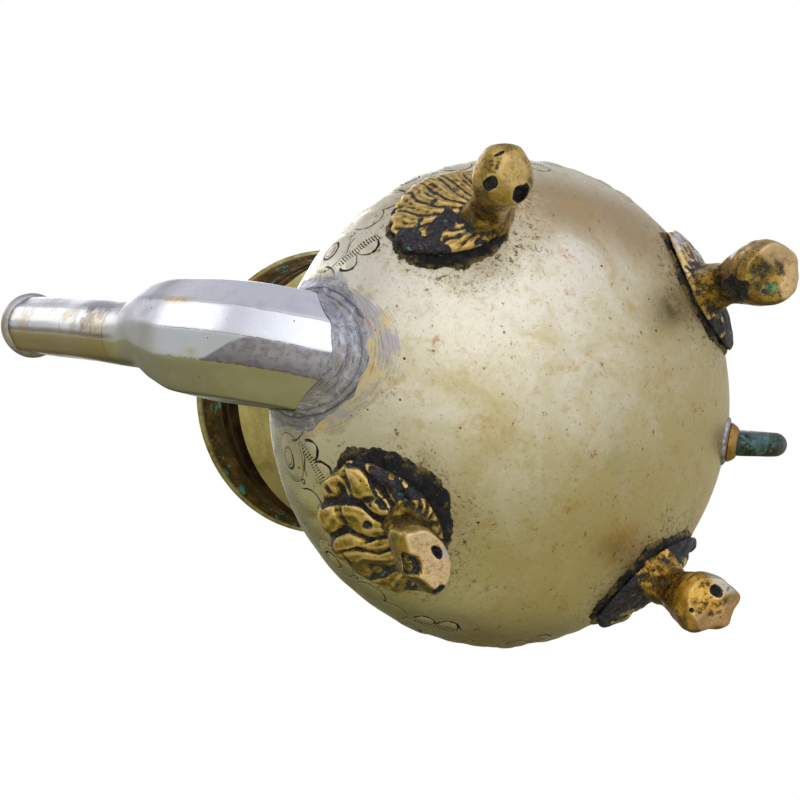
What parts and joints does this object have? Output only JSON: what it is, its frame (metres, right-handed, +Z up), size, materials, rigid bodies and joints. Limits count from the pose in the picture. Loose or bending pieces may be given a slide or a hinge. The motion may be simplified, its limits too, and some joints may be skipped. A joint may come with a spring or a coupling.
{
  "type": "footed brass teapot",
  "caption": "Globular brass teapot with a flared neck, a hinged domed lid, an octagonal spout, a bent rod handle and cast paw feet soldered under the body.",
  "frame": {"origin": "on the ground under the body's axis, in the middle of the overall length and width", "axes": "+Z up, +X from the body towards the spout, +Y to the left of someone who looks along +X"},
  "size_m": [0.2478, 0.15, 0.2463],
  "materials": {
    "pale_brass": "worn tinned brass, scratched and stained",
    "neck_brass": "dull yellow brass",
    "dark_brass": "brass with dark brown deposit",
    "rim_brass": "brass with olive and orange patina",
    "tinned": "tinned, bright, slightly scratched",
    "solder": "dull lead solder, scraped",
    "black_solder": "blackened rough solder",
    "cast_brass": "cast brass, dark in the hollows",
    "patinated_brass": "brass rod with blue-grey patina",
    "collar_brass": "turned brass, worn"
  },
  "bodies": {
    "pot": {"body": "pale_brass", "neck": "neck_brass", "neck_band": "dark_brass", "rim_flange": "rim_brass", "spout_belly": "tinned", "spout_neck": "tinned", "spout_mouth_ring": "tinned", "spout_solder": "solder", "foot_front_left": "cast_brass", "foot_solder_front_left": "black_solder", "foot_back_left": "cast_brass", "foot_solder_back_left": "black_solder", "foot_back_right": "cast_brass", "foot_solder_back_right": "black_solder", "foot_front_right": "cast_brass", "foot_solder_front_right": "black_solder", "handle": "patinated_brass", "handle_lower_collar": "collar_brass", "handle_upper_collar": "collar_brass", "handle_solder": "solder", "hinge_bracket": "cast_brass", "hinge_pin": "cast_brass"},
    "lid": {"lid_dome": "pale_brass", "lid_bezel": "neck_brass", "finial": "cast_brass", "finial_washer": "cast_brass", "finial_burr": "cast_brass", "hinge_leaf": "cast_brass"}
  },
  "joints": [
    {"name": "lid_hinge", "type": "hinge", "parent": "pot", "child": "lid", "pos_m": [-0.0557, 0, 0.1967], "axis": [0, -1, 0], "range_deg": [0, 110]}
  ]
}
